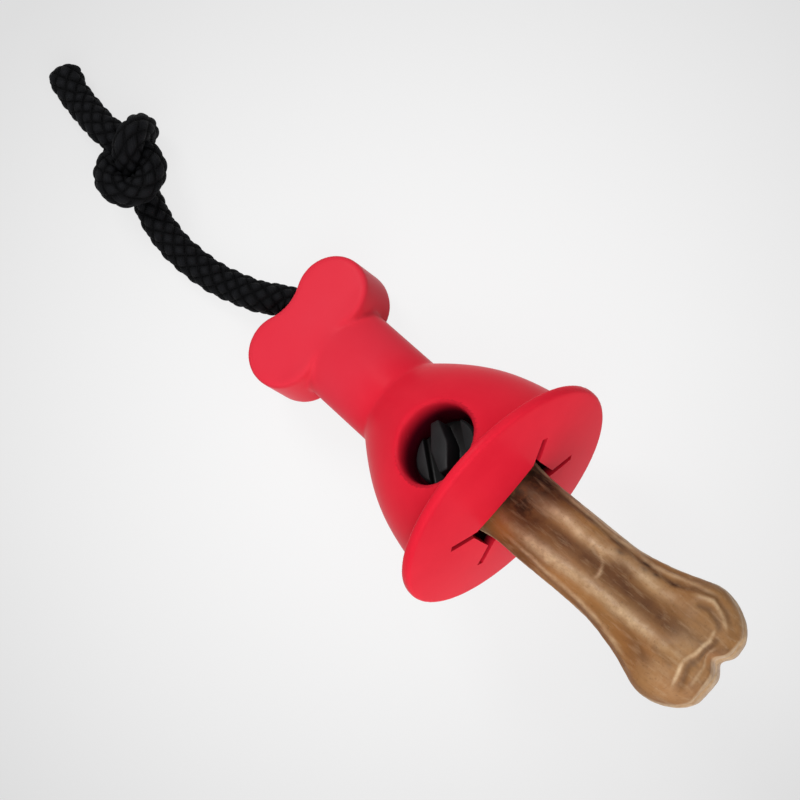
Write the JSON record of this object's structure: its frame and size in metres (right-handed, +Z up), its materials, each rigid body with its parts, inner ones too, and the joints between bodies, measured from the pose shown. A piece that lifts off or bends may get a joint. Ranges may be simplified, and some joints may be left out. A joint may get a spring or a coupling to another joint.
{
  "type": "dog chew holder",
  "caption": "Rubber bell with a bone-shaped handle and knotted rope that holds a pressed rawhide chew in a slotted mouth, locked by a recessed clamp screw.",
  "frame": {"origin": "on the floor under the middle of the holder and its chew, without the free rope", "axes": "+Z up, +X along the body towards the mouth and the chew, so the rope lies towards -X"},
  "size_m": [0.2722, 0.0772, 0.0742],
  "materials": {
    "red_rubber": "satin moulded",
    "black_plastic": "moulded",
    "rawhide": "pressed and dried",
    "black_rope": "braided"
  },
  "bodies": {
    "holder": {"body_shell": "red_rubber", "threaded_bush": "black_plastic", "rope_core": "black_rope", "rope_stop_knot": "black_rope", "rope_run": "black_rope", "rope_end_knot": "black_rope", "rope_tail": "black_rope"},
    "flap_top": {"mouth_flap_top": "red_rubber"},
    "flap_bottom": {"mouth_flap_bottom": "red_rubber"},
    "flap_left": {"mouth_flap_left": "red_rubber"},
    "flap_right": {"mouth_flap_right": "red_rubber"},
    "pad": {"pressure_pad": "black_plastic"},
    "screw": {"clamp_screw": "black_plastic"},
    "chew": {"rawhide_chew": "rawhide"}
  },
  "joints": [
    {"name": "screw_turn", "type": "hinge", "parent": "pad", "child": "screw", "pos_m": [-0.01798, 0, 0.06089], "axis": [-0.5935, 0, 0.8048], "range_deg": [-144.05, 216.05]},
    {"name": "pad_press", "type": "slide", "parent": "holder", "child": "pad", "axis": [-0.5935, 0, 0.8048], "range_m": [-0.0012, 0.0018]},
    {"name": "chew_slide", "type": "slide", "parent": "holder", "child": "chew", "axis": [0.9536, 0.0349, 0.299], "range_m": [0, 0.045], "deforming": ["mouth_flap_top", "mouth_flap_bottom", "mouth_flap_left", "mouth_flap_right"]},
    {"name": "flap_top_bend", "type": "hinge", "parent": "holder", "child": "flap_top", "pos_m": [0.00418, 0, 0.04871], "axis": [0, -1, 0], "range_deg": [0, 60], "stiffness_Nm_per_rad": 0.001},
    {"name": "flap_bottom_bend", "type": "hinge", "parent": "holder", "child": "flap_bottom", "pos_m": [0.01109, 0, 0.02667], "axis": [0, 1, 0], "range_deg": [0, 60], "stiffness_Nm_per_rad": 0.001},
    {"name": "flap_left_bend", "type": "hinge", "parent": "holder", "child": "flap_left", "pos_m": [0.00764, 0.01965, 0.03769], "axis": [-0.2991, 0, 0.9542], "range_deg": [0, 60], "stiffness_Nm_per_rad": 0.001},
    {"name": "flap_right_bend", "type": "hinge", "parent": "holder", "child": "flap_right", "pos_m": [0.00764, -0.01965, 0.03769], "axis": [0.2991, 0, -0.9542], "range_deg": [0, 60], "stiffness_Nm_per_rad": 0.001}
  ],
  "couplings": [
    {"joint": "screw_turn", "follows": "pad_press", "rad_per_m": 2094.4}
  ]
}
